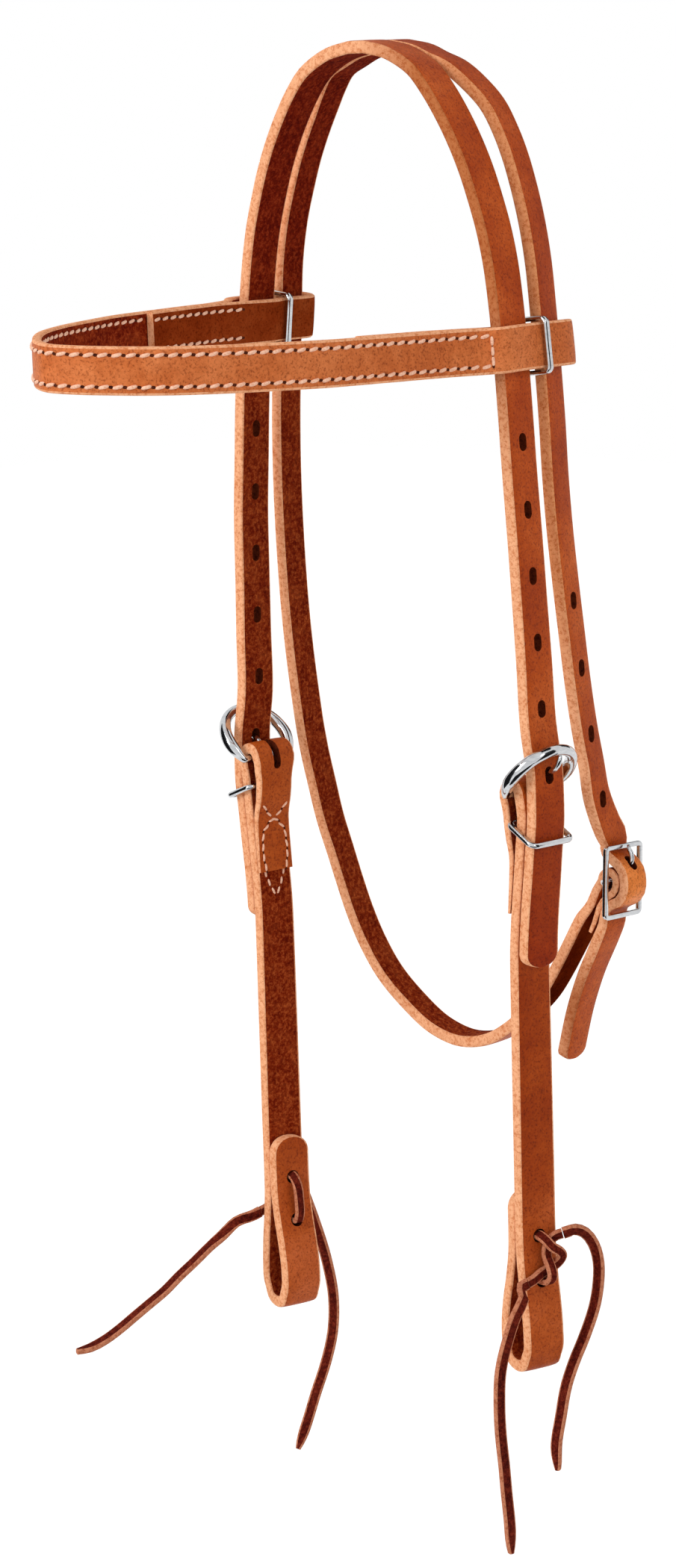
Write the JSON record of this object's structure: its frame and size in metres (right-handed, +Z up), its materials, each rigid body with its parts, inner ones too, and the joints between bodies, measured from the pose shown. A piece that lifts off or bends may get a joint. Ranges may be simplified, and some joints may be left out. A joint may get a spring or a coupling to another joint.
{
  "type": "western headstall",
  "caption": "Leather western headstall: slit crown with punched billets and throatlatch, sewn browband, buckled cheek straps and lace-tied bit loops, hung as on a head.",
  "frame": {"origin": "middle of the underside of the crown's crest, where it rests on the poll", "axes": "+Z up, +X to the horse's near (left) side, +Y to the rear, so that the nose of the browband points along -Y"},
  "size_m": [0.187, 0.2416, 0.5909],
  "materials": {
    "crown": "russet grain side, pale cut edges, rough flesh side",
    "browband": "russet grain side with sewn edges",
    "cheek_straps": "russet grain side, pale cut edges, rough flesh side",
    "laces": "dark red latigo",
    "stitching": "waxed thread",
    "cheek_buckles": "polished",
    "cheek_tongues": "polished",
    "keepers": "polished wire",
    "browband_loops": "polished wire",
    "throat_buckle": "polished",
    "throat_tongue": "polished"
  },
  "bodies": {
    "crown": {"crown_strap": "crown"},
    "browband": {"browband": "browband", "browband_stitching": "stitching"},
    "throat_buckle": {"throat_buckle": "throat_buckle"},
    "throat_tongue": {"throat_tongue": "throat_tongue"},
    "browband_loop_near": {"browband_loop_near": "browband_loops"},
    "cheek_near": {"cheek_strap_near": "cheek_straps", "cheek_stitching_near": "stitching", "lace_tie_near": "laces", "lace_tail_near_front": "laces", "lace_tail_near_rear": "laces"},
    "cheek_buckle_near": {"cheek_buckle_near": "cheek_buckles"},
    "cheek_tongue_near": {"cheek_tongue_near": "cheek_tongues"},
    "cheek_keeper_near": {"cheek_keeper_near": "keepers"},
    "browband_loop_far": {"browband_loop_far": "browband_loops"},
    "cheek_far": {"cheek_strap_far": "cheek_straps", "cheek_stitching_far": "stitching", "lace_tie_far": "laces", "lace_tail_far_front": "laces", "lace_tail_far_rear": "laces"},
    "cheek_buckle_far": {"cheek_buckle_far": "cheek_buckles"},
    "cheek_tongue_far": {"cheek_tongue_far": "cheek_tongues"},
    "cheek_keeper_far": {"cheek_keeper_far": "keepers"}
  },
  "joints": [
    {"name": "browband_slide", "type": "slide", "parent": "crown", "child": "browband", "axis": [0, 0, 1], "range_m": [-0.002, 0.002]},
    {"name": "throat_buckle_tilt", "type": "hinge", "parent": "crown", "child": "throat_buckle", "pos_m": [0.077, 0.038, -0.3218], "axis": [0, 0.9986, -0.0523], "range_deg": [-1, 1]},
    {"name": "throat_tongue_lift", "type": "hinge", "parent": "throat_buckle", "child": "throat_tongue", "pos_m": [0.077, 0.038, -0.3218], "axis": [0, 0.9986, -0.0523], "range_deg": [0, 5]},
    {"name": "browband_loop_near_slide", "type": "slide", "parent": "browband", "child": "browband_loop_near", "axis": [0, 1, 0], "range_m": [-0.0008, 0.0008]},
    {"name": "cheek_near_swing", "type": "hinge", "parent": "crown", "child": "cheek_near", "pos_m": [0.06884, -0.00585, -0.2798], "axis": [0.1331, 0.9911, 0], "range_deg": [0, 2]},
    {"name": "cheek_buckle_near_tilt", "type": "hinge", "parent": "crown", "child": "cheek_buckle_near", "pos_m": [0.06884, -0.00585, -0.2798], "axis": [0.1331, 0.9911, 0], "range_deg": [0, 4]},
    {"name": "cheek_tongue_near_lift", "type": "hinge", "parent": "cheek_buckle_near", "child": "cheek_tongue_near", "pos_m": [0.06884, -0.00585, -0.2798], "axis": [0.1331, 0.9911, 0], "range_deg": [0, 4]},
    {"name": "cheek_keeper_near_tilt", "type": "hinge", "parent": "crown", "child": "cheek_keeper_near", "pos_m": [0.06837, -0.0058, -0.2914], "axis": [-0.147, -0.9891, 0], "range_deg": [0, 8]},
    {"name": "browband_loop_far_slide", "type": "slide", "parent": "browband", "child": "browband_loop_far", "axis": [0, 1, 0], "range_m": [-0.0008, 0.0008]},
    {"name": "cheek_far_swing", "type": "hinge", "parent": "crown", "child": "cheek_far", "pos_m": [-0.06884, -0.00702, -0.2798], "axis": [-0.1331, -0.9911, 0], "range_deg": [0, 2]},
    {"name": "cheek_buckle_far_tilt", "type": "hinge", "parent": "crown", "child": "cheek_buckle_far", "pos_m": [-0.06884, -0.00702, -0.2798], "axis": [-0.1331, -0.9911, 0], "range_deg": [0, 4]},
    {"name": "cheek_tongue_far_lift", "type": "hinge", "parent": "cheek_buckle_far", "child": "cheek_tongue_far", "pos_m": [-0.06884, -0.00702, -0.2798], "axis": [-0.1331, -0.9911, 0], "range_deg": [0, 4]},
    {"name": "cheek_keeper_far_tilt", "type": "hinge", "parent": "crown", "child": "cheek_keeper_far", "pos_m": [-0.06837, -0.00721, -0.2914], "axis": [0.147, 0.9891, 0], "range_deg": [0, 8]}
  ]
}
